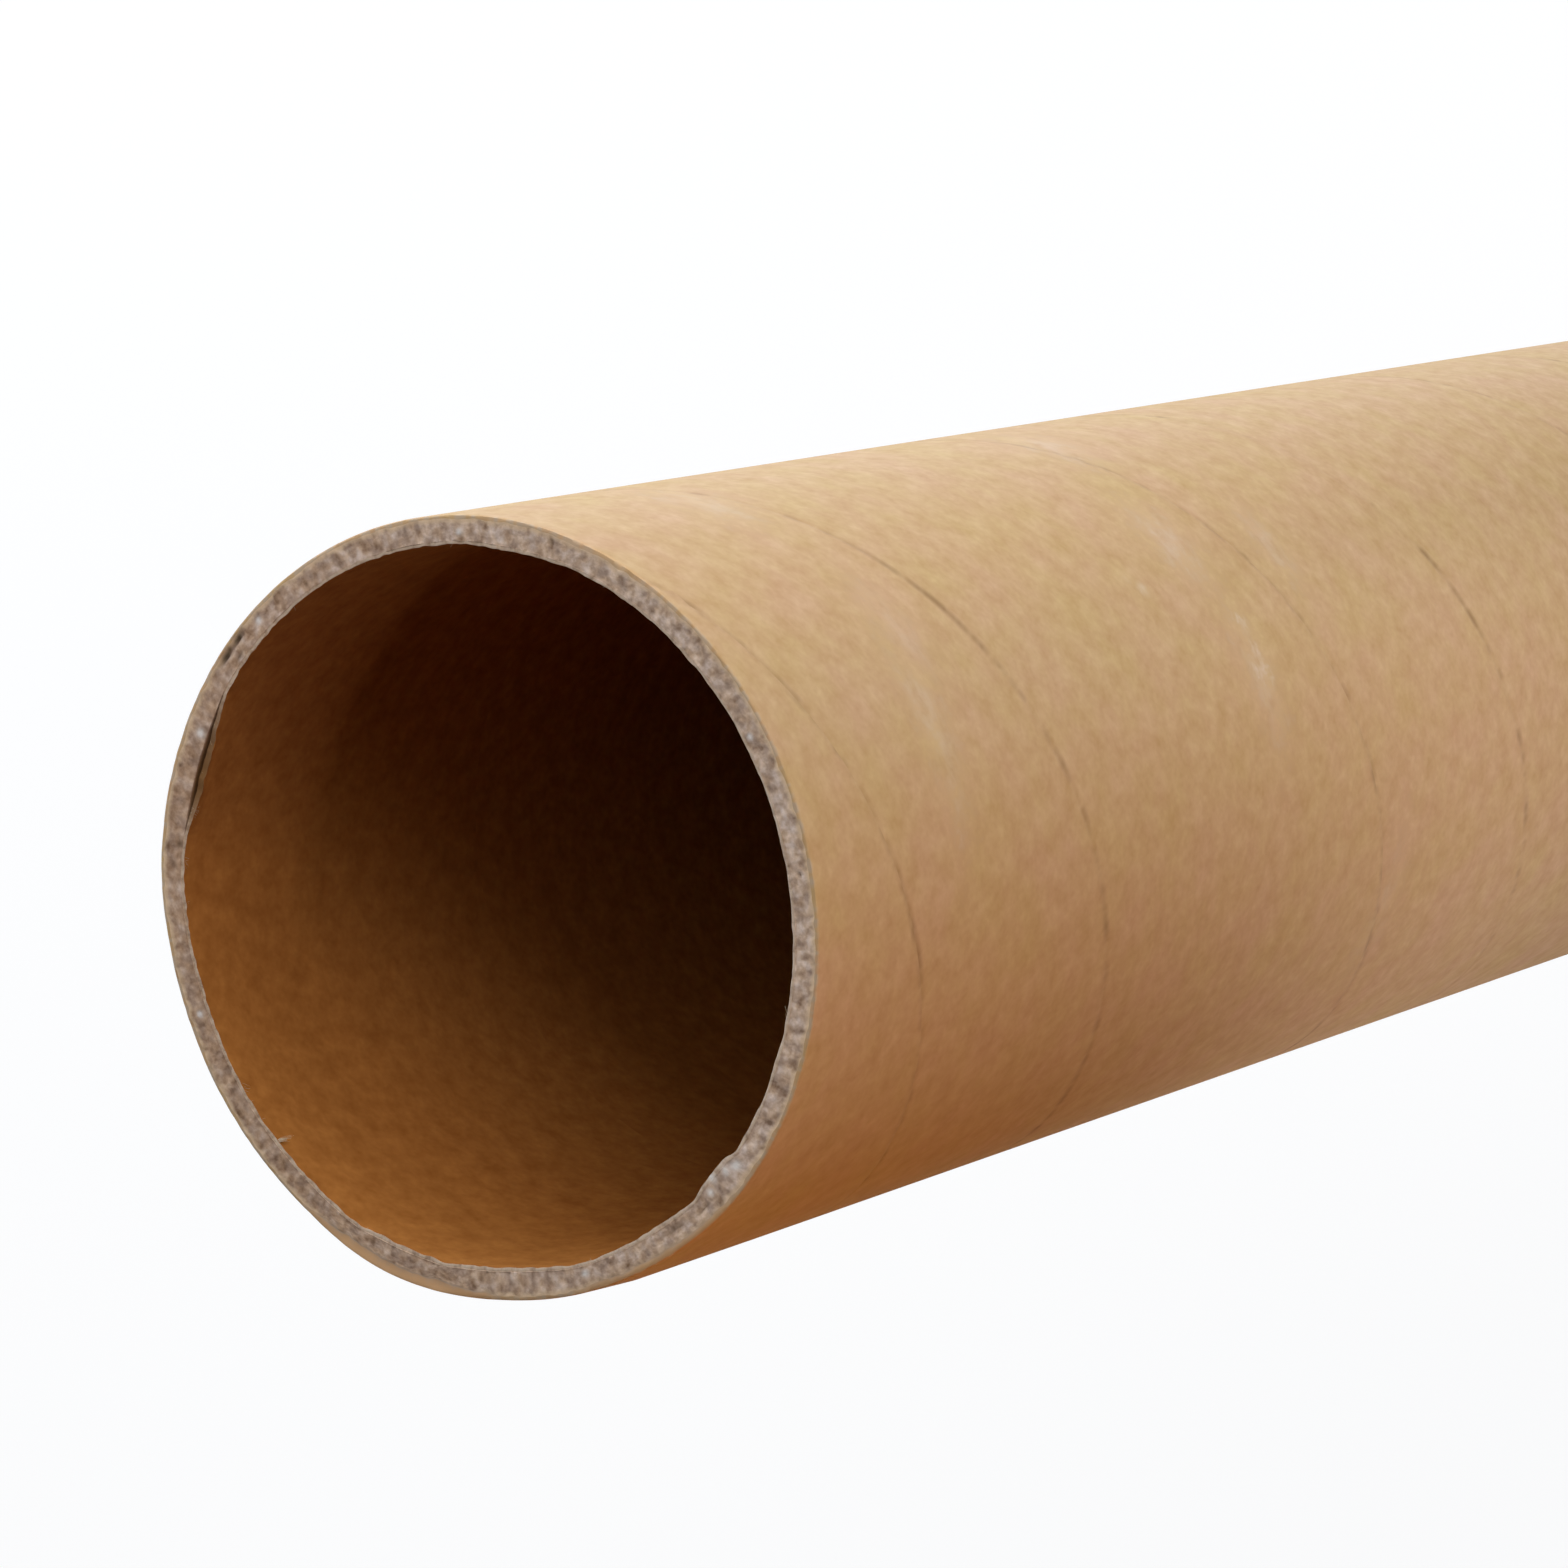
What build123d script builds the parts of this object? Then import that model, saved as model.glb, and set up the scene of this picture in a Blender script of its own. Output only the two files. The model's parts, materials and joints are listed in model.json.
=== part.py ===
from build123d import *
from math import asin, ceil, pi, tan
import os

# A mailing tube of spiral-wound paperboard, glued into one stiff wall and cut square at
# both ends. It stands on one cut end, with the tube's axis on +Z and the origin in the
# middle of that end. The other cut end, open and bare, is at the top.

# Driving dimensions, in millimetres and degrees
tube_length = 610.0      # from one cut end to the other
bore_diameter = 76.0     # clear width inside
wall_thickness = 3.0     # all the glued plies together
rim_bevel = 0.3          # outer edge of each cut end, turned in a little by the knife
strip_width = 98.0       # width of the paper strip that each ply is wound from
seam_gap = 0.5           # left open between one turn of the outer ply and the next
seam_depth = 0.3         # thickness of the outer ply, so the depth of that gap
seam_turn = -44.5        # direction from +X in which the outer seam runs out at the top end
ply_stagger = 39.3       # along the axis, from the outer seam down to the seam of the next ply
crease_width = 0.8       # dip of the outer ply where it bridges the seam below it
crease_depth = 0.2

# Sizes that follow from them
bore_radius = bore_diameter / 2
outer_radius = bore_radius + wall_thickness
girth = 2 * pi * outer_radius
winding_angle = asin(strip_width / girth)
winding_pitch = girth * tan(winding_angle)
crease_turn = seam_turn + 360 * ply_stagger / winding_pitch

# A section square to the axis meets the winding at a slant, so a gap that is measured
# square to the seam is this many times wider there.
slant = girth / strip_width


def plain_wall():
    # The wall's section, bevelled at its outer edges, is turned about the axis.
    section = Rectangle(wall_thickness, tube_length, align=(Align.MIN, Align.MIN))
    outer_corners = section.vertices().group_by(Axis.X)[-1]
    section = chamfer(outer_corners, rim_bevel)
    return revolve(Plane.XZ * Pos(bore_radius, 0) * section, Axis.Z)


def along_winding(profile, turn):
    # A flat profile, X outwards from the outer wall, rises along the axis and turns once in
    # each pitch of the winding. One turn is made and stacked, from past the foot to past the
    # top end, which the line crosses in the direction given.
    overrun = wall_thickness
    line_top = tube_length + overrun
    start = Rot(Z=turn + 360 * overrun / winding_pitch) * Pos(outer_radius, 0) * profile
    rise = (0, 0, winding_pitch)
    one_turn = Solid.extrude_linear_with_rotation(start.face(), (0, 0, 0), rise, 360)
    turn_count = ceil((line_top + overrun) / winding_pitch)
    return [Pos(0, 0, line_top - count * winding_pitch) * one_turn for count in range(1, turn_count + 1)]


def outer_seam():
    # The butt joint of the outer ply is a narrow gap with square edges.
    return along_winding(Rectangle(2 * seam_depth, slant * seam_gap), seam_turn)


def bridging_crease():
    # Over the joint of the ply below, the outer ply sinks into a shallow vee.
    vee = Polyline(
        (-crease_depth, 0),
        (crease_depth, slant * crease_width),
        (crease_depth, -slant * crease_width),
        close=True,
    )
    return along_winding(make_face(vee), crease_turn)


tube = plain_wall() - (outer_seam() + bridging_crease())

os.makedirs("parts", exist_ok=True)
export_step(tube, "parts/tube.step")
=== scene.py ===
import json
import math
import bpy
import numpy as np
from mathutils import Matrix, Vector


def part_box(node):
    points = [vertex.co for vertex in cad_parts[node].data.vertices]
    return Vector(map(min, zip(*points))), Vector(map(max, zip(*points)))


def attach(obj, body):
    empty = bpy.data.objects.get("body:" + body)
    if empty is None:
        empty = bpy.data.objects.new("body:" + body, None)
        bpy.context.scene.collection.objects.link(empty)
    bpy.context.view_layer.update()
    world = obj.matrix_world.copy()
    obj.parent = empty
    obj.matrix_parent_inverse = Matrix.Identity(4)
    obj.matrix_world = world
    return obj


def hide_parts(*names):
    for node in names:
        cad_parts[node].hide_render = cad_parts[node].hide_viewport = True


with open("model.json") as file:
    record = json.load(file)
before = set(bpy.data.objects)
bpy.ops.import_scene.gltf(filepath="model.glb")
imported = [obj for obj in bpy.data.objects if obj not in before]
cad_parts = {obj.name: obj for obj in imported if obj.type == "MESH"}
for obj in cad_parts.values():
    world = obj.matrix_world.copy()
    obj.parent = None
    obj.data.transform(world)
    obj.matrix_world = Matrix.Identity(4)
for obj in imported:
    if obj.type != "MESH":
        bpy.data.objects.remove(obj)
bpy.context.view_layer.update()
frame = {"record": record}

# A spiral-wound paperboard tube that stands on one cut end. The other end, at the top, is
# the one seen close: a grey core between a kraft outer ply and a kraft liner that has come
# loose on one side. All lengths are in metres.
mm = 0.001

tubeLow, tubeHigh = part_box("tube")
tubeLength = tubeHigh.z - tubeLow.z
outerRadius = (tubeHigh.x - tubeLow.x) / 2
boreMount = next(mount for mount in frame["record"]["mounts"] if mount["name"] == "bore")
boreRadius = boreMount["dims"]["r_mm"] * mm
wallThickness = outerRadius - boreRadius
print("frame: tube of length", round(tubeLength, 4), "radius", round(outerRadius, 4), "bore", boreRadius)


# The winding of the outer ply

winding = {
    "stripWidth": 98 * mm,  # paper strip, edge to edge
    "seamTurn": math.radians(-44.5),  # where the outer seam reaches the top end
    "wave": 0.03 * mm,  # soft unevenness of the wound wall
    "waveSize": 24 * mm,
    "waveSeed": 3,
    "grooveReach": 1.25,  # of a line to each side, in half widths
    "openingSize": 9 * mm,  # length of strip on which a line opens or closes
    "openingSeed": 11,
    "opening": (0.6, 0.6, 0.15),  # share of a line's depth: usual, swing by noise, least
}
girth = 2 * math.pi * outerRadius
windingAngle = math.asin(winding["stripWidth"] / girth)
pitch = girth * math.tan(windingAngle)

# Lines of the winding: drop is how far below the outer seam each lies along the axis, mark is
# how dark the line looks, and blur, in mm, how soft.
windingLines = (
    {"drop": 0.0, "halfWidth": 0.30 * mm, "depth": 0.05 * mm, "mark": 0.50, "blur": 0.95},  # butt joint
    {"drop": 39.3 * mm, "halfWidth": 0.36 * mm, "depth": 0.05 * mm, "mark": 0.60, "blur": 1.00},  # crease
)


def stripPlace(turn, height):
    # The wall unrolled and turned by the winding angle, from where the seam leaves the top:
    # along = arc * cos + rise * sin, across = rise * cos - arc * sin. Each whole strip width
    # across is one turn less along, so the two stay on one endless strip.
    arc = outerRadius * (turn - winding["seamTurn"])
    rise = height - tubeLength
    along = arc * math.cos(windingAngle) + rise * math.sin(windingAngle)
    across = rise * math.cos(windingAngle) - arc * math.sin(windingAngle)
    return along, across


def ontoStrip(along, across, strip):
    # Moves a place that lies strip widths away back onto the strip's own width.
    return along + strip * girth * math.cos(windingAngle), across - strip * winding["stripWidth"]


def lineCentre(line):
    # Where a line lies across the strip
    return -line["drop"] * math.cos(windingAngle) % winding["stripWidth"]


hashAxes = np.array([127.1, 311.7, 74.7])
hashScale = 43758.5453


def valueNoise(points, seed):
    # Each lattice corner has a number from -1 to 1, hashed from its place, and a point takes
    # the mix of the eight corners around it, each weighted by a smooth step.
    cell = np.floor(points)
    part = points - cell
    ease = part * part * (3 - 2 * part)
    total = np.zeros(points.shape[:-1])
    for corner in np.ndindex(2, 2, 2):
        weight = np.where(np.array(corner) == 1, ease, 1 - ease).prod(axis=-1)
        code = np.sin((cell + corner) @ hashAxes + seed) * hashScale
        total += weight * (2 * (code - np.floor(code)) - 1)
    return total


def aroundNoise(turn, third, size, seed):
    # Noise on the place (radius * cos, radius * sin, third), so that it closes after a turn.
    turn, third = np.broadcast_arrays(turn, third)
    place = np.stack([outerRadius * np.cos(turn), outerRadius * np.sin(turn), third], axis=-1)
    return valueNoise(place / size, seed)


def wallRadius(turn, height):
    # Outer radius, less a soft wave and what the end is pushed in, less a raised cosine across
    # each line. Each line opens and closes along the strip by noise.
    along, across = stripPlace(turn, height)
    along, across = ontoStrip(along, across, np.floor(across / winding["stripWidth"]))
    wave = aroundNoise(turn, height, winding["waveSize"], winding["waveSeed"])
    radius = outerRadius - winding["wave"] * (1 + wave) / 2
    radius = radius - endShift(turn, height)
    usual, swing, least = winding["opening"]
    for index, line in enumerate(windingLines):
        away = np.abs(across - lineCentre(line))
        away = np.minimum(away, winding["stripWidth"] - away)
        share = np.clip(away / line["halfWidth"] / winding["grooveReach"], 0, 1)
        groove = (1 + np.cos(np.pi * share)) / 2
        stretch = np.stack([along / winding["openingSize"], along * 0 + index, along * 0], axis=-1)
        opening = np.clip(usual + swing * valueNoise(stretch, winding["openingSeed"]), least, 1)
        radius = radius - line["depth"] * groove * opening
    return radius


# The tube's own mesh

tubeMesh = {
    "columns": 400,  # around the wall and the bore
    "lineRows": (-2.4, -1.1, -0.6, 0.0, 0.6, 1.1, 2.4),  # rows across a line, in half widths
    "plainRows": 5,  # rows between, in each pitch
    "spareTurns": 2,  # of the rows, past the two ends
    "snap": 0.04 * mm,  # a row this near an end's ring joins it
    "boreRows": 14,
    "endBand": 2.4 * mm,  # wall at each end that the cut shapes
    "boreBand": 9.0 * mm,  # bore at each end, likewise
    "topSeed": 21,
    "footSeed": 57,
    "sharpAngle": math.radians(50),
}
finer = 3  # columns of the top end to each of those, as finerBand joins them
plyKind, coreKind, linerKind = range(3)  # places of the tube's materials

cutEnd = {
    # Rings of the rim: in and below, in mm, then how far each grows with a mm of rolled rim
    "rim": (
        (0.0, 0.7, 0.0, 0.0),
        (0.0, 0.30, 0.01, -0.20),
        (0.05, 0.11, 0.30, -0.11),
        (0.17, 0.04, 0.85, 0.09),
    ),
    "rimRag": 0.24 * mm,  # how unevenly the rim is rolled all round
    "rimRagSize": 1.7 * mm,
    "rimRagShares": (0.3, 0.6),  # of that, everywhere and by noise
    "plyEdge": 0.36 * mm,  # thickness of the outer ply
    "liner": 0.32 * mm,  # thickness of the liner
    "coreRings": 9,
    "relief": 0.09 * mm,  # roughness of the cut core
    "reliefSize": 0.75 * mm,
    "reliefShares": (0.5, 0.45, 0.25),  # of that, everywhere, by fine noise and by wide noise
    "reliefWider": 3,  # wide noise, in sizes of the fine one
    "reliefAcross": 2,  # how much faster it changes in through the paper
    "fray": 0.35 * mm,  # how far down the outer wall its edge is worn grey
    "fold": 0.50 * mm,  # roll of the rim that shows as a fold of the outer ply
    "rag": 0.15 * mm,  # burr along the inner edge
    "ragSize": 1.6 * mm,
    "ragShares": (0.35, 0.6, 0.45),  # of that, everywhere, by wide noise and by fine noise
    "ragMiddle": 0.4,  # share of it half way through the liner
    "ragReach": 0.9,  # how far down the bore it runs, in mm
    "boreRings": (0.2, 0.5, 1.0, 2.0, 3.5, 5.5),  # below the end, in mm
}

# What each noise of a cut end adds to that end's seed
noiseSeeds = {"reliefFine": 0, "reliefWide": 1, "ragFine": 5, "ragWide": 6, "rimWide": 7, "rimFine": 8}

# Where the liner has come away: it leans into the bore, a little sunk, with a dark slot behind it
looseLiner = {
    "start": math.radians(41),
    "span": math.radians(25.0),
    "widest": 0.62,  # share of the span at which it stands furthest off
    "gap": 0.36 * mm,  # open behind it
    "swollen": 0.28 * mm,  # how much thicker its edge has grown
    "sunk": 0.35 * mm,
    "ragged": 0.7,  # how unevenly it is sunk, as a share
    "lip": 0.4 * mm,  # depth down to which the slot keeps its full width
    "slotDepth": 1.1 * mm,
    "crack": 0.02 * mm,  # depth of the line between core and liner all round
    # Rings in past the core: down one side of the slot, up the other and on to the liner's edge
    "slotRings": (0.005 * mm, 0.01 * mm, 0.02 * mm, 0.03 * mm, 0.04 * mm),
    "slotSpan": (0.002 * mm, 0.035 * mm),  # in past the core, the part that is slot
    "edgeDrops": (0.03 * mm, 0.05 * mm),  # rounding of the liner's edge, to the core and the bore
}


def inUnits(rows, angles):
    # Rows of a table from degrees and mm into radians and metres, with the angles first
    return [
        [math.radians(part) for part in row[:angles]] + [part * mm for part in row[angles:]]
        for row in rows
    ]


# Places where the inner edge stands into the bore: direction, half width and height
edgeBulges = inUnits((
    (-147, 6, 0.66),
    (-163, 14, 0.16),
    (-126, 3, 0.08),
    (-25, 9, 0.18),
    (56, 17, 0.42),
    (100, 14, 0.12),
    (148, 9, 0.48),
    (167, 15, 0.42),
), 2)

# Where the end has been pushed in, and swells out once: direction, half width, shift inwards
# and reach down the wall
endDents = inUnits((
    (108, 38, 0.56, 9.0),
    (180, 33, 0.38, 4.0),
    (147, 22, -0.15, 3.0),
), 2)

# Where the outer ply is rolled in over the rim: direction, half width and how far
rimRolls = inUnits((
    (148, 20, 1.00),
    (-163, 20, 0.36),
    (-40, 14, 0.10),
), 2)

# Small hollows in the cut core: direction, distance in from the wall, length, width and depth
coreHollows = inUnits((
    (36.4, 0.80, 1.10, 0.36, 0.55),
    (32.8, 0.80, 0.95, 0.32, 0.45),
    (34.6, 2.10, 0.90, 0.30, 0.20),
    (67.8, 2.30, 0.55, 0.45, 0.16),
    (-30.0, 1.10, 0.35, 0.25, 0.25),
    (-96.0, 1.50, 0.30, 0.22, 0.25),
    (-159.0, 1.70, 1.60, 0.16, 0.22),
    (-152.0, 1.45, 1.20, 0.14, 0.20),
), 1)

# Pale flecks of whiter pulp in the cut core: direction, distance in from the wall, size
paleFlecks = inUnits((
    (27.7, 1.35, 0.42),
    (49.2, 2.00, 0.50),
    (-177.0, 1.85, 0.45),
    (-74.5, 2.10, 0.38),
    (-145.0, 2.30, 0.42),
    (-147.6, 2.75, 0.45),
    (-143.0, 1.90, 0.60),
    (-149.5, 2.10, 0.40),
    (95.0, 1.70, 0.40),
    (-13.5, 1.70, 0.40),
), 1)

# How strongly those show; the hollows show as painted shade, as does the slot behind the loose liner
cutMarks = {
    "fleckWidth": 0.8,  # across the ring, as a share of the size along it
    "fleckShown": 0.85,
    "shadeDepth": 0.4 * mm,  # a hollow this deep gets the full painted shade
    # share of painted shade in the slot behind the loose liner
    "slotShown": 0.10,
}


def angleBetween(turn, other):
    # Smallest signed turn from one direction to another
    return (turn - other + np.pi) % (2 * np.pi) - np.pi


def bump(offset, halfSpan):
    # One at the middle, none past the half span, with a smooth shoulder
    inside = np.clip(1 - (offset / halfSpan) ** 2, 0, 1)
    return inside * inside * (3 - 2 * inside)


def spotSum(spots, turn, inset):
    # Sum of bell curves, one for each spot: direction, inset, length along the ring, width
    # across it and height.
    total = np.zeros(np.broadcast(turn, inset).shape)
    for spotTurn, spotInset, length, width, height in spots:
        arc = outerRadius * angleBetween(turn, spotTurn)
        total = total + height * np.exp(-(arc / length) ** 2 - ((inset - spotInset) / width) ** 2)
    return total


def looseShape(turn):
    # How far the liner stands off, from 0 to 1: a quarter of a sine wave up to the widest place
    # and a quarter of a cosine wave from there to the end of the loose stretch.
    share = angleBetween(turn, looseLiner["start"]) / looseLiner["span"]
    peak = looseLiner["widest"]
    rise = np.sin(np.pi / 2 * share / peak)
    fall = np.cos(np.pi / 2 * (share - peak) / (1 - peak))
    return np.where((share > 0) & (share < 1), np.where(share < peak, rise, fall), 0)


def endShift(turn, height):
    # How far the wall near the top end is pushed in: each dent is a bump round the end, and a
    # bell curve of the depth below it.
    depth = tubeLength - height
    total = np.zeros(np.broadcast(turn, height).shape)
    for dentTurn, halfSpan, shift, reach in endDents:
        total = total + shift * bump(angleBetween(turn, dentTurn), halfSpan) * np.exp(-(depth / reach) ** 2)
    return total


def rimRoll(turn):
    # How far the rim is rolled in: a sum of bumps round the end
    return sum(depth * bump(angleBetween(turn, rollTurn), halfSpan) for rollTurn, halfSpan, depth in rimRolls)


def endRings(turn, seed, worn):
    # Rings of the cut end from the outer wall over the rim and the cut to the bore. Each has,
    # for every direction, the distance in from the wall and below the end, then the material of
    # the band that follows it and its place in the thickness of the paper.
    still = np.zeros_like(turn)
    rings = []

    def noiseOf(name, size, third=still):
        return aroundNoise(turn, third, size, seed + noiseSeeds[name])

    def relief(inset):
        # Depth of the cut core: shares of the roughness, steady and by noise, and the hollows
        fine = noiseOf("reliefFine", cutEnd["reliefSize"], inset)
        wideSize = cutEnd["reliefWider"] * cutEnd["reliefSize"]
        wide = noiseOf("reliefWide", wideSize, inset * cutEnd["reliefAcross"])
        steady, byFine, byWide = cutEnd["reliefShares"]
        hollows = spotSum(coreHollows, turn, inset) if worn else 0
        return cutEnd["relief"] * np.clip(steady + byFine * fine + byWide * wide, 0, 1) + hollows

    def ring(paper, below, kind, push=still):
        # The bulges of the inner edge grow with the square of the way in through the paper
        share = np.clip(paper / wallThickness, 0, 1) ** 2
        rings.append((paper + swell * share + push, np.maximum(still + below, 0), kind, paper))

    looseness = looseShape(turn) if worn else still
    gap = looseLiner["gap"] * looseness
    lean = gap + looseLiner["swollen"] * looseness
    sunk = looseLiner["sunk"] * looseness
    slot = looseLiner["crack"] + looseLiner["slotDepth"] * np.sqrt(looseness)
    swell = still
    if worn:
        for bulgeTurn, halfSpan, height in edgeBulges:
            swell = swell + height * bump(angleBetween(turn, bulgeTurn), halfSpan)
    ragFine = noiseOf("ragFine", cutEnd["ragSize"] / 2)
    ragWide = noiseOf("ragWide", cutEnd["ragSize"])
    steady, byWide, byFine = cutEnd["ragShares"]
    rag = cutEnd["rag"] * np.clip(steady + byWide * ragWide + byFine * ragFine, 0, None)

    # Outer ply, over the rim
    rimRag = noiseOf("rimWide", cutEnd["rimRagSize"]) + noiseOf("rimFine", cutEnd["rimRagSize"] / 2)
    steady, byNoise = cutEnd["rimRagShares"]
    roll = cutEnd["rimRag"] * np.clip(steady + byNoise * rimRag, 0, 1)
    if worn:
        roll = roll + rimRoll(turn)
    for inset, below, inGrowth, downGrowth in cutEnd["rim"]:
        ring(inset * mm, below * mm + downGrowth * roll, plyKind, inGrowth * roll)

    # Core, pushed in by the rolled rim beside it
    coreEnd = wallThickness - cutEnd["liner"]
    for inset in np.linspace(cutEnd["plyEdge"], coreEnd, cutEnd["coreRings"]):
        pushed = inGrowth * roll * (coreEnd - inset) / (coreEnd - cutEnd["plyEdge"])
        ring(inset, relief(still + inset), coreKind, pushed)

    # Slot and liner
    linerRough = sunk + cutEnd["relief"] * (0.5 + 0.5 * ragFine) + looseLiner["ragged"] * sunk * ragWide
    lip = np.minimum(slot, looseLiner["lip"])
    coreDrop, boreDrop = looseLiner["edgeDrops"]
    slotDepths = (lip, slot, slot, lip + sunk, coreDrop + linerRough)
    slotPushes = (still, still, still, gap, gap)
    for inset, below, push in zip(looseLiner["slotRings"], slotDepths, slotPushes):
        ring(coreEnd + inset, below, coreKind, push)
    middlePush = (gap + lean) / 2 + cutEnd["ragMiddle"] * rag
    ring(coreEnd + 0.5 * cutEnd["liner"], linerRough, coreKind, middlePush)
    ring(wallThickness, boreDrop + linerRough, linerKind, lean + rag)

    # First of the bore
    for below in cutEnd["boreRings"]:
        fade = max(0.0, 1 - below * mm / tubeMesh["boreBand"]) ** 2
        burr = rag * max(0.0, 1 - below / cutEnd["ragReach"])
        inset = (lean + swell) * fade + burr + wallThickness
        rings.append((inset, sunk * fade + below * mm, linerKind, wallThickness))
    return rings


def quadBand(lower, upper):
    # Faces between two closed rings of the same count, lower to upper, turning anticlockwise
    return np.stack([lower, np.roll(lower, -1), np.roll(upper, -1), upper], axis=-1)


def finerBand(coarse, fine, finerFirst):
    # Faces between a ring and one with three times its points: a quad and two triangles each
    near, far = coarse, np.roll(coarse, -1)
    first, second, third = (fine[place::finer] for place in range(finer))
    last = np.roll(first, -1)
    if finerFirst:
        quads = np.stack([second, third, far, near], axis=-1)
        triangles = [np.stack([first, second, near], axis=-1), np.stack([third, last, far], axis=-1)]
    else:
        quads = np.stack([near, far, third, second], axis=-1)
        triangles = [np.stack([near, second, first], axis=-1), np.stack([far, last, third], axis=-1)]
    return quads, np.concatenate(triangles)


def ringPoints(turn, radius, height):
    # Points at (radius * cos, radius * sin, height)
    turn, radius, height = np.broadcast_arrays(turn, radius, height)
    return np.stack([radius * np.cos(turn), radius * np.sin(turn), height], axis=-1)


def wallPoints(turn, height):
    return ringPoints(turn, wallRadius(turn, height), height)


def windingHeights(columns):
    # Rows of the wall rise along the winding: height = row + pitch * turn / whole turn. They lie
    # close together across each line, and some are spread evenly over the pitch.
    spread = np.array(tubeMesh["lineRows"])
    rows = [(lineCentre(line) + line["halfWidth"] * spread) / math.cos(windingAngle) for line in windingLines]
    rows.append((np.arange(tubeMesh["plainRows"]) + 0.5) * pitch / tubeMesh["plainRows"])
    rows = np.sort(np.concatenate(rows) % pitch)
    turnsDown = math.ceil(tubeLength / pitch) + tubeMesh["spareTurns"]
    start = tubeLength - pitch * winding["seamTurn"] / (2 * math.pi)
    levels = (start + pitch * np.arange(-turnsDown, 1)[:, None] + rows).ravel()
    return levels + pitch * np.arange(columns)[:, None] / columns, len(rows)


def windingFaces(ids, rowCount):
    # Faces between neighbouring columns and rows of points. After a whole turn each row meets the
    # one a pitch above it. Where two corners are one point the face is a triangle, or is dropped.
    ids = np.vstack([ids[:, :-rowCount], ids[:1, rowCount:]])
    a, b, c, d = (part.ravel() for part in (ids[:-1, :-1], ids[1:, :-1], ids[1:, 1:], ids[:-1, 1:]))
    left, right = a != d, b != c
    return [
        (np.stack([a, b, c, d], axis=-1)[left & right], plyKind),
        (np.stack([a, b, c], axis=-1)[~left & right], plyKind),
        (np.stack([a, b, d], axis=-1)[left & ~right], plyKind),
    ]


def buildTube():
    columns = tubeMesh["columns"]
    turn = np.arange(columns) * 2 * np.pi / columns
    fineTurn = np.arange(columns * finer) * 2 * np.pi / (columns * finer)
    points, faceSets, insets = [], [], []
    count = 0

    def addPoints(place, inset):
        nonlocal count
        ids = np.arange(count, count + len(place))
        points.append(place)
        insets.append(np.broadcast_to(inset, len(place)))
        count += len(place)
        return ids

    # Rings where the wound wall meets the two cut ends
    bandTop = tubeLength - tubeMesh["endBand"]
    bandFoot = tubeMesh["endBand"]
    topRing = addPoints(wallPoints(turn, bandTop), 0.0)
    footRing = addPoints(wallPoints(turn, bandFoot), 0.0)

    # Wall between them. A row that runs off an end is held on that end's ring.
    height, rowCount = windingHeights(columns)
    snap = tubeMesh["snap"]
    inside = (height > bandFoot + snap) & (height < bandTop - snap)
    ids = np.where(height <= bandFoot + snap, footRing[:, None], topRing[:, None])
    wallTurn = np.broadcast_to(turn[:, None], height.shape)[inside]
    ids[inside] = addPoints(wallPoints(wallTurn, height[inside]), 0.0)
    faceSets += windingFaces(ids, rowCount)

    # Top end, with finer columns, from the wall over the cut into the bore
    previous = None
    for inset, below, kind, paper in endRings(fineTurn, tubeMesh["topSeed"], True):
        level = tubeLength - below
        shift = endShift(fineTurn, level)
        groove = outerRadius - wallRadius(fineTurn, level) - shift if paper < cutEnd["plyEdge"] else 0
        radius = outerRadius - shift - np.maximum(inset, groove)
        ids = addPoints(ringPoints(fineTurn, radius, level), paper)
        if previous is None:
            quads, triangles = finerBand(topRing, ids, False)
            faceSets += [(quads, plyKind), (triangles, plyKind)]
        else:
            faceSets.append((quadBand(previous, ids), previousKind))
        previous, previousKind = ids, kind

    # Bore, from the top end down
    levels = np.linspace(tubeLength - tubeMesh["boreBand"], tubeMesh["boreBand"], tubeMesh["boreRows"])
    ids = addPoints(ringPoints(turn, boreRadius, levels[0]), wallThickness)
    quads, triangles = finerBand(ids, previous, True)
    faceSets += [(quads, linerKind), (triangles, linerKind)]
    for level in levels[1:]:
        previous, ids = ids, addPoints(ringPoints(turn, boreRadius, level), wallThickness)
        faceSets.append((quadBand(previous, ids), linerKind))

    # Foot end, from the bore out to the wall
    for inset, below, kind, paper in reversed(endRings(turn, tubeMesh["footSeed"], False)):
        groove = outerRadius - wallRadius(turn, below) if paper < cutEnd["plyEdge"] else 0
        radius = outerRadius - np.maximum(inset, groove)
        previous, ids = ids, addPoints(ringPoints(turn, radius, below), paper)
        faceSets.append((quadBand(previous, ids), kind))
    faceSets.append((quadBand(ids, footRing), plyKind))

    points = np.concatenate(points)
    mesh = meshFrom("mailing_tube", points, faceSets)
    addStripMap(mesh, points)
    addCutFields(mesh, points, np.concatenate(insets))
    mesh.shade_smooth()
    mesh.set_sharp_from_angle(angle=tubeMesh["sharpAngle"])
    print("tube mesh:", len(points), "points,", len(mesh.polygons), "faces")
    return newObject("mailing_tube", mesh)


def newObject(name, data):
    made = bpy.data.objects.new(name, data)
    bpy.context.scene.collection.objects.link(made)
    return made


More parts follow.
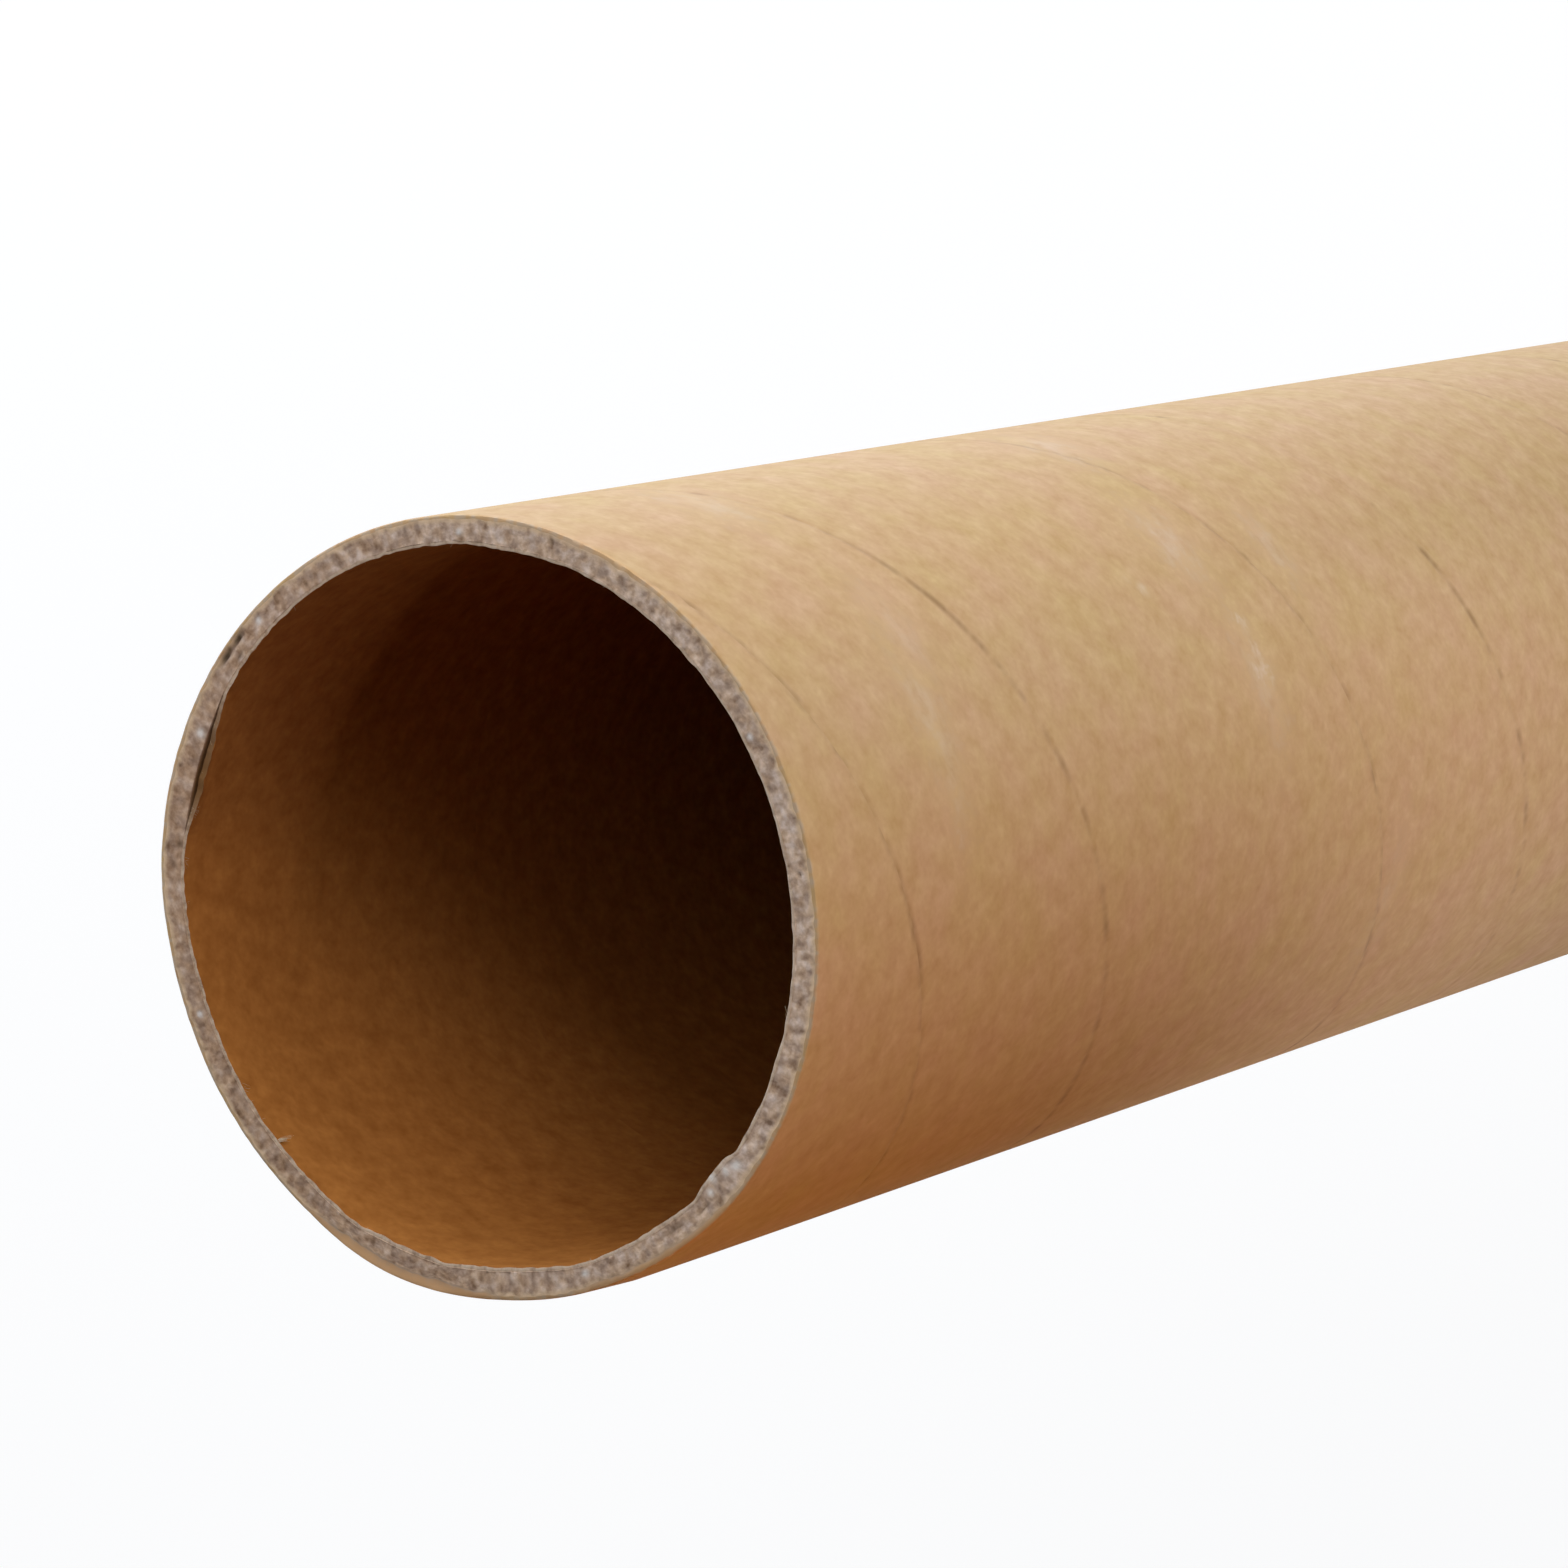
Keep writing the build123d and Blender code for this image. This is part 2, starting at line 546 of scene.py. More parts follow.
def meshFrom(name, points, faceSets):
    # A mesh of all the face tables, each with its material place
    corners = np.concatenate([table.ravel() for table, kind in faceSets])
    sizes = np.concatenate([np.full(len(table), table.shape[1]) for table, kind in faceSets])
    kinds = np.concatenate([np.full(len(table), kind) for table, kind in faceSets])
    mesh = bpy.data.meshes.new(name)
    mesh.vertices.add(len(points))
    mesh.vertices.foreach_set("co", points.astype(np.float32).ravel())
    mesh.loops.add(len(corners))
    mesh.loops.foreach_set("vertex_index", corners.astype(np.int32))
    mesh.polygons.add(len(sizes))
    mesh.polygons.foreach_set("loop_start", (np.cumsum(sizes) - sizes).astype(np.int32))
    mesh.polygons.foreach_set("material_index", kinds.astype(np.int32))
    mesh.update(calc_edges=True)
    mesh.validate()
    return mesh


def faceCorners(mesh):
    # Corner table of a mesh: each corner's point and its face, then each face's corner count
    corners = np.zeros(len(mesh.loops), dtype=np.int32)
    mesh.loops.foreach_get("vertex_index", corners)
    sizes = np.zeros(len(mesh.polygons), dtype=np.int32)
    mesh.polygons.foreach_get("loop_total", sizes)
    return corners, np.repeat(np.arange(len(sizes)), sizes), sizes


def addStripMap(mesh, points):
    # UV of each corner is its place on the wound strip, in metres. All corners of a face take
    # the strip turn of the face's middle, so the map breaks only along the real seam.
    corners, faces, sizes = faceCorners(mesh)
    sums = [np.bincount(faces, points[corners, axis]) for axis in range(3)]
    middle = np.stack(sums, axis=-1) / sizes[:, None]
    middleTurn = np.arctan2(middle[:, 1], middle[:, 0])
    strip = np.floor(stripPlace(middleTurn, middle[:, 2])[1] / winding["stripWidth"])
    cornerTurn = np.arctan2(points[corners, 1], points[corners, 0])
    cornerTurn = middleTurn[faces] + angleBetween(cornerTurn, middleTurn[faces])
    along, across = stripPlace(cornerTurn, points[corners, 2])
    along, across = ontoStrip(along, across, strip[faces])
    stripMap = mesh.uv_layers.new(name="strip")
    stripMap.data.foreach_set("uv", np.stack([along, across], axis=-1).astype(np.float32).ravel())


def addPointField(mesh, name, kind, value):
    field = mesh.attributes.new(name, kind, "POINT")
    field.data.foreach_set("vector" if kind == "FLOAT_VECTOR" else "value", value.astype(np.float32).ravel())


def addCutFields(mesh, points, paper):
    # Point values for the cut end: a place that runs round the ring and in through the paper,
    # and how pale, torn, frayed or rolled the paper is there, with painted shade in its hollows and down the
    # slot behind the loose liner.
    turn = np.arctan2(points[:, 1], points[:, 0])
    place = np.stack([outerRadius * np.cos(turn), outerRadius * np.sin(turn), paper], axis=-1)
    addPointField(mesh, "cut_place", "FLOAT_VECTOR", place)
    atTop = points[:, 2] > tubeLength - tubeMesh["boreBand"]
    below = tubeLength - points[:, 2]
    flecks = [(fleckTurn, inset, size, size * cutMarks["fleckWidth"], cutMarks["fleckShown"])
              for fleckTurn, inset, size in paleFlecks]
    # Hollows of the cut, each as a spot of painted shade, stronger the deeper it is
    hollows = [(*shadedHollow[:4], min(1.0, shadedHollow[4] / cutMarks["shadeDepth"])) for shadedHollow in coreHollows]
    behind = paper - wallThickness + cutEnd["liner"]
    slotStart, slotStop = looseLiner["slotSpan"]
    loose = np.sqrt(looseShape(turn))
    slot = loose * ((behind > slotStart) & (behind < slotStop))
    rolledIn = rimRoll(turn)
    atEdge = np.clip(1 - below / cutEnd["fray"], 0, 1)
    fields = {
        "cut_fleck": spotSum(flecks, turn, paper),
        # painted shade in the hollows and, faintly, in the slot behind the loose liner
        "cut_shadedHollow": np.maximum(spotSum(hollows, turn, paper), cutMarks["slotShown"] * slot),
        # the torn edge of the loose liner, and painted shade down the slot behind it
        "cut_tornAndSlotShade": loose * (behind > slotStart),
        "frayed": np.clip(1 - rolledIn / cutEnd["fray"], 0, 1) * atEdge,
        "rolled": np.clip(rolledIn / cutEnd["fold"], 0, 1) * (below < cutEnd["fold"]),
    }
    for name, value in fields.items():
        addPointField(mesh, name, "FLOAT", np.where(atTop, value, 0))


# Loose paper fibres along the inner edge of the top end

fibres = {
    "radius": 0.022 * mm,
    "thinner": 0.6,  # share of that lost towards the tip
    "steps": 7,
    "sides": 5,
    "seed": 8,
    "shortest": 0.5,  # share of a tuft's longest
    "rooted": 0.05 * mm,  # how far the root lies in the paper
    "below": (0.1, 0.4),  # root below the end, in mm
    "drift": 0.3,  # sideways, for all of them
    "inwards": (0.5, 1.0),
    "droop": (0.05, 0.5),
    "curl": 0.6,  # bend to the side, as a share of the fan
    "sag": (0.1, 0.6),
    # Direction and spread in degrees, count, longest in mm, and how far they fan out
    "tufts": (
        (61.8, 0.6, 9, 1.0, 0.4),
        (70.2, 0.8, 5, 0.7, 0.6),
        (119.3, 0.25, 14, 1.7, 0.16),
        (-117.5, 0.8, 3, 1.4, 0.3),
        (109.0, 1.5, 4, 0.7, 0.5),
        (-146.5, 2.5, 8, 0.5, 0.6),
        (0.0, 180.0, 30, 0.5, 0.7),
    ),
    "dark": (0.42, 0.27, 0.14, 1),
    "pale": (0.66, 0.52, 0.36, 1),
    "tintScale": 0.8,
    "tintSpan": (0.35, 0.65),
    "roughness": 0.9,
    "specular": 0.5,
}


def unit(vectors):
    return vectors / np.linalg.norm(vectors, axis=-1, keepdims=True)


def buildFibres():
    # Each fibre is a thin tube along root + length * (t * direction + t * t * bend), t from 0 to 1.
    draw = np.random.default_rng(fibres["seed"])
    turn, length, fan = [], [], []
    for middle, spread, number, longest, wide in fibres["tufts"]:
        turn.append(np.radians(middle + spread * draw.uniform(-1, 1, number)))
        length.append(longest * mm * draw.uniform(fibres["shortest"], 1, number))
        fan.append(np.full((number, 2), wide))
    turn, length, fan = np.concatenate(turn), np.concatenate(length), np.concatenate(fan)
    count = len(turn)
    outward = np.stack([np.cos(turn), np.sin(turn), 0 * turn], axis=-1)
    sideways = np.stack([-np.sin(turn), np.cos(turn), 0 * turn], axis=-1)
    standing = (looseLiner["gap"] + looseLiner["swollen"]) * looseShape(turn)
    rootRadius = boreRadius - standing - endShift(turn, tubeLength) + fibres["rooted"]
    root = outward * rootRadius[:, None]
    root[:, 2] = tubeLength - draw.uniform(*fibres["below"], count) * mm
    lean = draw.normal(0, 1, (count, 2)) * fan + fibres["drift"]
    direction = -outward * draw.uniform(*fibres["inwards"], (count, 1)) + sideways * lean[:, :1]
    direction[:, 2] = -draw.uniform(*fibres["droop"], count)
    bend = sideways * lean[:, 1:] * fibres["curl"]
    bend[:, 2] = -draw.uniform(*fibres["sag"], count)
    t = np.linspace(0, 1, fibres["steps"])
    bow = t[:, None] * direction[:, None] + t[:, None] ** 2 * bend[:, None]
    path = root[:, None] + length[:, None, None] * bow
    tangent = unit(np.gradient(path, axis=1))
    notAlong = (0.3, 0.2, 1.0)  # no fibre runs this way, so it gives each a side
    across = unit(np.cross(tangent, notAlong))
    upward = np.cross(across, tangent)
    angle = np.arange(fibres["sides"]) * 2 * np.pi / fibres["sides"]
    taper = fibres["radius"] * (1 - fibres["thinner"] * t)[:, None, None]
    spoke = across[:, :, None] * np.cos(angle)[:, None] + upward[:, :, None] * np.sin(angle)[:, None]
    points = (path[:, :, None] + taper * spoke).reshape(-1, 3)
    ids = np.arange(len(points)).reshape(count, fibres["steps"], fibres["sides"])
    lower, upper = ids[:, :-1], ids[:, 1:]
    sides = np.stack([lower, upper, np.roll(upper, -1, axis=2), np.roll(lower, -1, axis=2)], axis=-1)
    ends = [(ids[:, 0], 0), (ids[:, -1, ::-1], 0)]
    mesh = meshFrom("edge_fibres", points, [(sides.reshape(-1, 4), 0)] + ends)
    mesh.shade_smooth()
    print("edge fibres:", count)
    return newObject("edge_fibres", mesh)


# Material helpers

inMm = (1 / mm, 1 / mm, 1 / mm)  # scale that turns a place in metres into one in mm


def startMaterial(name):
    material = bpy.data.materials.new(name)
    material.use_nodes = True
    return material, material.node_tree, material.node_tree.nodes["Principled BSDF"]


def connect(tree, source, target):
    # A number, colour or vector is set on the socket itself, and another node's socket is linked
    if isinstance(source, bpy.types.NodeSocket):
        tree.links.new(source, target)
    else:
        target.default_value = source


def setInputs(node, values):
    for name, value in values.items():
        node.inputs[name].default_value = value


def calc(tree, operation, first, second=0.0, third=0.0):
    node = tree.nodes.new("ShaderNodeMath")
    node.operation = operation
    for place, value in enumerate((first, second, third)):
        connect(tree, value, node.inputs[place])
    return node.outputs[0]


def weighted(tree, first, second, shares):
    # Sum of two values, each times its share
    return calc(tree, "MULTIPLY_ADD", first, shares[0], calc(tree, "MULTIPLY", second, shares[1]))


def remap(tree, value, low, high, toLow=0.0, toHigh=1.0, smooth=False):
    # A value from low to high becomes one from toLow to toHigh, held at the ends
    node = tree.nodes.new("ShaderNodeMapRange")
    node.interpolation_type = "SMOOTHSTEP" if smooth else "LINEAR"
    for place, part in enumerate((value, low, high, toLow, toHigh)):
        connect(tree, part, node.inputs[place])
    return node.outputs[0]


def blendColour(tree, factor, first, second, mode="MIX"):
    node = tree.nodes.new("ShaderNodeMix")
    node.data_type = "RGBA"
    node.blend_type = mode
    for name, value in (("Factor_Float", factor), ("A_Color", first), ("B_Color", second)):
        connect(tree, value, next(socket for socket in node.inputs if socket.identifier == name))
    return next(socket for socket in node.outputs if socket.identifier == "Result_Color")


def scaled(tree, vector, scale, shift=(0, 0, 0)):
    node = tree.nodes.new("ShaderNodeMapping")
    connect(tree, vector, node.inputs["Vector"])
    setInputs(node, {"Scale": scale, "Location": shift})
    return node.outputs[0]


def noise(tree, vector, scale, detail=2.0, roughness=0.5):
    node = tree.nodes.new("ShaderNodeTexNoise")
    connect(tree, vector, node.inputs["Vector"])
    setInputs(node, {"Scale": scale, "Detail": detail, "Roughness": roughness})
    return node.outputs["Fac"]


def attribute(tree, name, output="Fac"):
    node = tree.nodes.new("ShaderNodeAttribute")
    node.attribute_name = name
    return node.outputs[output]


def objectPlace(tree):
    return tree.nodes.new("ShaderNodeTexCoord").outputs["Object"]


def vectorParts(tree, vector):
    node = tree.nodes.new("ShaderNodeSeparateXYZ")
    tree.links.new(vector, node.inputs[0])
    return node.outputs


def stripVector(tree):
    # Place on the wound strip, in millimetres
    node = tree.nodes.new("ShaderNodeUVMap")
    node.uv_map = "strip"
    return scaled(tree, node.outputs[0], inMm)


def addBump(tree, shader, height, distance):
    node = tree.nodes.new("ShaderNodeBump")
    connect(tree, height, node.inputs["Height"])
    setInputs(node, {"Distance": distance, "Strength": 1.0})
    tree.links.new(node.outputs[0], shader.inputs["Normal"])


def dressShader(tree, shader, colour, settings):
    tree.links.new(colour, shader.inputs["Base Color"])
    setInputs(shader, {"Roughness": settings["roughness"], "Specular IOR Level": settings["specular"]})


# Kraft paper, as noise on its strip: scale, detail, roughness, stretch, and where it is taken
kraftNoise = {
    "fleck": (0.36, 3.0, 0.56, (1.0, 0.9, 1.0), (0, 0)),  # soft, about 3 mm across
    "fibre": (1.1, 1.0, 0.6, (1.0, 0.9, 1.0), (7, 0)),  # finer specks
    "tint": (0.11, 3.0, 0.6, (1.0, 1.0, 1.0), (3, 5)),  # slower drifts
}


def kraftPaper(tree, strip, name, shift):
    # The shift along the strip sets one paper apart from another
    scale, detail, roughness, stretch, start = kraftNoise[name]
    return noise(tree, scaled(tree, strip, stretch, (shift, *start)), scale, detail, roughness)


# Kraft paper of the outer ply

kraftOuter = {
    "pale": (0.635, 0.425, 0.251, 1),
    "dark": (0.435, 0.247, 0.107, 1),
    "shift": 0.0,
    "mottle": (0.72, 0.28),  # shares of fleck and fibre
    "mottleSpan": (0.12, 0.88),
    "yellow": (0.985, 0.990, 0.855, 1),  # the paper drifts between these two tints
    "pink": (1.015, 0.960, 0.990, 1),
    "tintSpan": (0.3, 0.7),
    "roughness": 0.8,
    "specular": 0.03,
    "sheen": 0.10,
    "sheenRoughness": 0.4,
    "bump": 0.007 * mm,
}

# Its worn edge at the top end, and where it is rolled over the rim
kraftEdge = {
    "fray": (0.500, 0.345, 0.220, 1),
    "frayMix": (2.0, 2.5),  # of fleck and fibre, which break the edge up
    "fraySpan": (2.0, 2.6),
    "frayShown": (0.1, 0.7),
    "fold": (0.715, 0.395, 0.190, 1),
    "foldShown": 0.8,
    "greyMix": (1 / mm, 0.2),  # of the place in the paper, in mm, and fibre
    "greySpan": (0.19, 0.42),  # where the fold turns into the core's grey
}

# Its lines of the winding, in mm on the strip: dashes on longer stretches, other ones for each line
lineLook = {
    "colour": (0.210, 0.105, 0.045, 1),
    "wander": 0.9,
    "wanderScale": 0.12,
    "stretchScale": (0.05, 0.01, 1.0),
    "stretchShift": 40,
    "dashScale": (0.30, 0.05, 1.0),
    "dashShift": 70,
    "dashStart": 9,
    "mix": (0.45, 0.55),  # shares of stretch and dash
    "span": (0.47, 0.63),
    "faintest": 0.05,
}

# Its rubbed pale patches
rubbing = {
    "colour": (0.660, 0.495, 0.365, 1),
    "ragged": 4.0,  # how far the grain breaks a patch's edge
    "reach": 1.15,  # where a patch has faded out, in half sizes
    "streakScale": (300, 300, 450),
    "streakSpan": (0.38, 0.62, 0.2, 1.2),
    # Direction in degrees, then in mm the depth below the top end, half the length round the wall
    # and half the width along it, and then the strength
    "patches": (
        (-81.0, 101.5, 6.5, 2.2, 0.60),
        (-84.0, 101.0, 10.0, 4.2, 0.26),
        (-58.0, 98.5, 7.5, 5.5, 0.36),
        (-62.0, 119.0, 6.5, 3.6, 0.28),
        (-63.0, 83.5, 1.0, 1.0, 0.40),
        (-65.5, 85.5, 1.2, 1.2, 0.44),
        (-28.0, 104.0, 8.0, 5.5, 0.28),
        (-80.0, 30.0, 14.0, 4.0, 0.30),
        (-64.0, 33.5, 8.0, 4.5, 0.22),
        (-28.0, 30.0, 8.0, 5.5, 0.26),
        (-128.0, 132.0, 12.0, 4.0, 0.20),
    ),
}


def rubbedAmount(tree, grain):
    # Each patch is measured from its middle: across the wall, round it and along it, each as a
    # share of its half size. It fades to none a little past one half size, where the grain breaks
    # its edge, and streaks of noise round the wall break it up inside.
    place = objectPlace(tree)
    ragged = calc(tree, "MULTIPLY_ADD", grain, rubbing["ragged"], -rubbing["ragged"] / 2)
    streak = noise(tree, scaled(tree, place, rubbing["streakScale"]), 1.0, detail=3.0, roughness=0.6)
    total = 0.0
    for turn, below, length, width, strength in rubbing["patches"]:
        turn = math.radians(turn)
        centre = (outerRadius * math.cos(turn), outerRadius * math.sin(turn), tubeLength - below * mm)
        local = tree.nodes.new("ShaderNodeMapping")
        local.vector_type = "TEXTURE"
        tree.links.new(place, local.inputs["Vector"])
        halfSize = (length * mm, length * mm, width * mm)
        setInputs(local, {"Location": centre, "Rotation": (0, 0, turn), "Scale": halfSize})
        far = tree.nodes.new("ShaderNodeVectorMath")
        far.operation = "LENGTH"
        tree.links.new(local.outputs[0], far.inputs[0])
        edge = calc(tree, "ADD", far.outputs["Value"], ragged)
        rubbed = remap(tree, edge, 0.0, rubbing["reach"], strength, 0.0, smooth=True)
        total = calc(tree, "MAXIMUM", total, rubbed)
    return calc(tree, "MULTIPLY", total, remap(tree, streak, *rubbing["streakSpan"]))


def windingMark(tree, strip, place, line):
    # How dark a line of the winding is: it fades out to both sides, wanders a little and breaks
    # off here and there along the strip.
    wander = calc(tree, "SUBTRACT", noise(tree, strip, lineLook["wanderScale"]), 0.5)
    middle = calc(tree, "MULTIPLY_ADD", wander, lineLook["wander"], lineCentre(line) / mm)
    away = calc(tree, "ABSOLUTE", calc(tree, "SUBTRACT", vectorParts(tree, strip)[1], middle))
    if line["drop"] == 0:
        away = calc(tree, "MINIMUM", away, calc(tree, "SUBTRACT", winding["stripWidth"] / mm, away))
    start = (lineLook["stretchShift"] * place, 0, 0)
    stretch = noise(tree, scaled(tree, strip, lineLook["stretchScale"], start), 1.0, detail=1.0)
    start = (lineLook["dashShift"] * place, lineLook["dashStart"], 0)
    dashPlace = scaled(tree, strip, lineLook["dashScale"], start)
    dashes = noise(tree, dashPlace, 1.0, detail=2.0, roughness=0.6)
    broken = weighted(tree, stretch, dashes, lineLook["mix"])
    shown = remap(tree, broken, *lineLook["span"], lineLook["faintest"], line["mark"])
    return calc(tree, "MULTIPLY", remap(tree, away, 0.0, line["blur"], 1.0, 0.0, smooth=True), shown)


def outerPlyMaterial():
    material, tree, shader = startMaterial("kraft_outer_ply")
    strip = stripVector(tree)
    fleck, fibre, tint = (kraftPaper(tree, strip, name, kraftOuter["shift"]) for name in kraftNoise)
    mottle = weighted(tree, fleck, fibre, kraftOuter["mottle"])
    paleness = remap(tree, mottle, *kraftOuter["mottleSpan"])
    colour = blendColour(tree, paleness, kraftOuter["dark"], kraftOuter["pale"])
    yellowness = remap(tree, tint, *kraftOuter["tintSpan"])
    drift = blendColour(tree, yellowness, kraftOuter["pink"], kraftOuter["yellow"])
    colour = blendColour(tree, 1.0, colour, drift, "MULTIPLY")
    colour = blendColour(tree, rubbedAmount(tree, mottle), colour, rubbing["colour"])
    for place, line in enumerate(windingLines):
        colour = blendColour(tree, windingMark(tree, strip, place, line), colour, lineLook["colour"])

    broken = remap(tree, weighted(tree, fleck, fibre, kraftEdge["frayMix"]), *kraftEdge["fraySpan"])
    frayed = calc(tree, "MULTIPLY", attribute(tree, "frayed"), broken)
    colour = blendColour(tree, remap(tree, frayed, *kraftEdge["frayShown"]), colour, kraftEdge["fray"])
    rolled = attribute(tree, "rolled")
    folded = calc(tree, "MULTIPLY", rolled, kraftEdge["foldShown"])
    colour = blendColour(tree, folded, colour, kraftEdge["fold"])
    paper = vectorParts(tree, attribute(tree, "cut_place", "Vector"))[2]
    greyness = remap(tree, weighted(tree, paper, fibre, kraftEdge["greyMix"]), *kraftEdge["greySpan"])
    colour = blendColour(tree, calc(tree, "MULTIPLY", rolled, greyness), colour, cutCore["grey"])

    dressShader(tree, shader, colour, kraftOuter)
    setInputs(shader, {"Sheen Weight": kraftOuter["sheen"], "Sheen Roughness": kraftOuter["sheenRoughness"]})
    addBump(tree, shader, calc(tree, "ADD", fleck, fibre), kraftOuter["bump"])
    return material


# Grey recycled board of the core, where it is cut

cutCore = {
    "grey": (0.533, 0.366, 0.258, 1),
    "pale": (0.821, 0.624, 0.486, 1),
    "dark": (0.239, 0.141, 0.086, 1),
    # Noises on the ring, in mm: stretch, where it is taken, scale, detail and roughness
    "speck": ((1.2, 1.2, 1.0), (0, 0, 0), 0.66, 2.0, 0.45),
    "fibre": ((1.0, 1.0, 1.2), (5, 0, 0), 1.3, 2.0, 0.55),
    "tint": ((1.0, 1.0, 1.0), (0, 9, 3), 0.8, 1.0, 0.5),
    "mottle": (0.65, 0.35),  # shares of speck and fibre
    "paleSpan": (0.50, 0.70),
    "darkSpan": (0.50, 0.30),
    "warm": (1.03, 0.99, 0.93, 1),  # the board drifts between these two tints
    "cool": (0.97, 0.99, 1.05, 1),
    "tintSpan": (0.35, 0.65),
    "shadedSideTint": (0.820, 0.755, 0.690, 1),  # painted shade: the ring darker and browner towards +Y
    "shadedSideSpan": (-20, 35),  # in mm along Y, over which that painted shade comes in
    "ply": (0.690, 0.470, 0.285, 1),  # cut edge of the outer ply
    "plyRag": (0.9, 0.3),  # shares of speck and fibre that break that edge up
    "plySpan": (-0.30, 0.35),  # in mm in from the wall
    "plyRolled": 0.25,  # how much of it shows where the rim is rolled
    "liner": (0.600, 0.440, 0.310, 1),  # cut edge of the liner
    "linerSpan": (2.66, 2.74),  # in mm in from the wall
    "linerRag": (0.35, 0.6, 0.25, 0.9),  # how the fibre breaks that edge up
    "tornAndSlotShade": (0.215, 0.105, 0.040, 1),  # the same where the liner is loose, and painted shade down the slot behind it
    "fleck": (0.840, 0.760, 0.690, 1),
    # painted shade in the hollows of the cut and in the slot behind the loose liner
    "shadedHollow": (0.040, 0.026, 0.015, 1),
    "roughness": 0.9,
    "specular": 0.03,
    "bump": 0.07 * mm,
}


def cutCoreMaterial():
    material, tree, shader = startMaterial("cut_grey_core")
    place = scaled(tree, attribute(tree, "cut_place", "Vector"), inMm)
    parts = vectorParts(tree, place)
    paper = parts[2]

    def ringNoise(name):
        stretch, start, scale, detail, roughness = cutCore[name]
        return noise(tree, scaled(tree, place, stretch, start), scale, detail, roughness)

    speck, fibre, tint = ringNoise("speck"), ringNoise("fibre"), ringNoise("tint")
    mottle = weighted(tree, speck, fibre, cutCore["mottle"])
    colour = blendColour(tree, remap(tree, mottle, *cutCore["paleSpan"]), cutCore["grey"], cutCore["pale"])
    colour = blendColour(tree, remap(tree, mottle, *cutCore["darkSpan"]), colour, cutCore["dark"])
    hue = blendColour(tree, remap(tree, tint, *cutCore["tintSpan"]), cutCore["warm"], cutCore["cool"])
    colour = blendColour(tree, 1.0, colour, hue, "MULTIPLY")
    # Painted shade, darker and browner towards +Y
    shadedSideShare = remap(tree, parts[1], *cutCore["shadedSideSpan"])
    colour = blendColour(tree, shadedSideShare, colour, cutCore["shadedSideTint"], "MULTIPLY")

    wallward = calc(tree, "SUBTRACT", paper, weighted(tree, speck, fibre, cutCore["plyRag"]))
    rolledShare = remap(tree, attribute(tree, "rolled"), 0.0, 1.0, 1.0, cutCore["plyRolled"])
    plyEdge = calc(tree, "MULTIPLY", remap(tree, wallward, *cutCore["plySpan"], 1.0, 0.0), rolledShare)
    colour = blendColour(tree, plyEdge, colour, cutCore["ply"])
    linerRag = remap(tree, fibre, *cutCore["linerRag"])
    linerEdge = calc(tree, "MULTIPLY", remap(tree, paper, *cutCore["linerSpan"]), linerRag)
    colour = blendColour(tree, linerEdge, colour, cutCore["liner"])
    # Pale flecks, the loose liner's torn edge with painted shade down the slot, and painted shade in the
    # hollows
    for name in ("fleck", "tornAndSlotShade", "shadedHollow"):
        colour = blendColour(tree, attribute(tree, "cut_" + name), colour, cutCore[name])

    dressShader(tree, shader, colour, cutCore)
    addBump(tree, shader, calc(tree, "ADD", speck, fibre), cutCore["bump"])
    return material


# Kraft liner of the bore

kraftLiner = {
    "pale": (0.440, 0.165, 0.037, 1),
    "dark": (0.306, 0.104, 0.021, 1),
    "shift": 31.0,
    "mottle": (0.7, 0.3),  # shares of fleck and fibre
    "mottleSpan": (0.32, 0.68),
    "roughness": 0.8,
    "specular": 0.03,
    "bump": 0.02 * mm,
}


def linerMaterial():
    material, tree, shader = startMaterial("kraft_liner")
    strip = stripVector(tree)
    fleck, fibre = (kraftPaper(tree, strip, name, kraftLiner["shift"]) for name in ("fleck", "fibre"))
    paleness = remap(tree, weighted(tree, fleck, fibre, kraftLiner["mottle"]), *kraftLiner["mottleSpan"])
    colour = blendColour(tree, paleness, kraftLiner["dark"], kraftLiner["pale"])
    dressShader(tree, shader, colour, kraftLiner)
    addBump(tree, shader, calc(tree, "ADD", fleck, fibre), kraftLiner["bump"])
    return material


def fibreMaterial():
    material, tree, shader = startMaterial("paper_fibre")
    tint = noise(tree, scaled(tree, objectPlace(tree), inMm), fibres["tintScale"])
    colour = blendColour(tree, remap(tree, tint, *fibres["tintSpan"]), fibres["dark"], fibres["pale"])
    dressShader(tree, shader, colour, fibres)
    return material


tube = buildTube()
for material in (outerPlyMaterial(), cutCoreMaterial(), linerMaterial()):
    tube.data.materials.append(material)
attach(tube, "root")
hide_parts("tube")

edgeFibres = buildFibres()
edgeFibres.data.materials.append(fibreMaterial())
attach(edgeFibres, "root")
print("materials: outer ply, cut core, liner, fibre")


# Floor and world: white to the camera and to reflections, and dimmer as light on the tube

stage = {
    "floorSize": 60.0,
    "floorColour": (0.20, 0.155, 0.09, 1),  # as light thrown back at the tube
    "shownColour": (1.0, 0.92, 0.86, 1),  # as seen, so that the shadow shows
    "shownWhite": 0.90,
    "ambient": (0.95, 0.93, 0.90, 1),
    "ambientStrength": 0.02,
}


def seenRays(tree):
    # One for rays that show the background itself: camera, mirror-like and through glass
    path = tree.nodes.new("ShaderNodeLightPath")
    seen = calc(tree, "MAXIMUM", path.outputs["Is Camera Ray"], path.outputs["Is Glossy Ray"])
    return calc(tree, "MAXIMUM", seen, path.outputs["Is Transmission Ray"])


def mixShaders(tree, factor, first, second):
    mix = tree.nodes.new("ShaderNodeMixShader")
    for place, value in enumerate((factor, first, second)):
        connect(tree, value, mix.inputs[place])
    return mix.outputs[0]


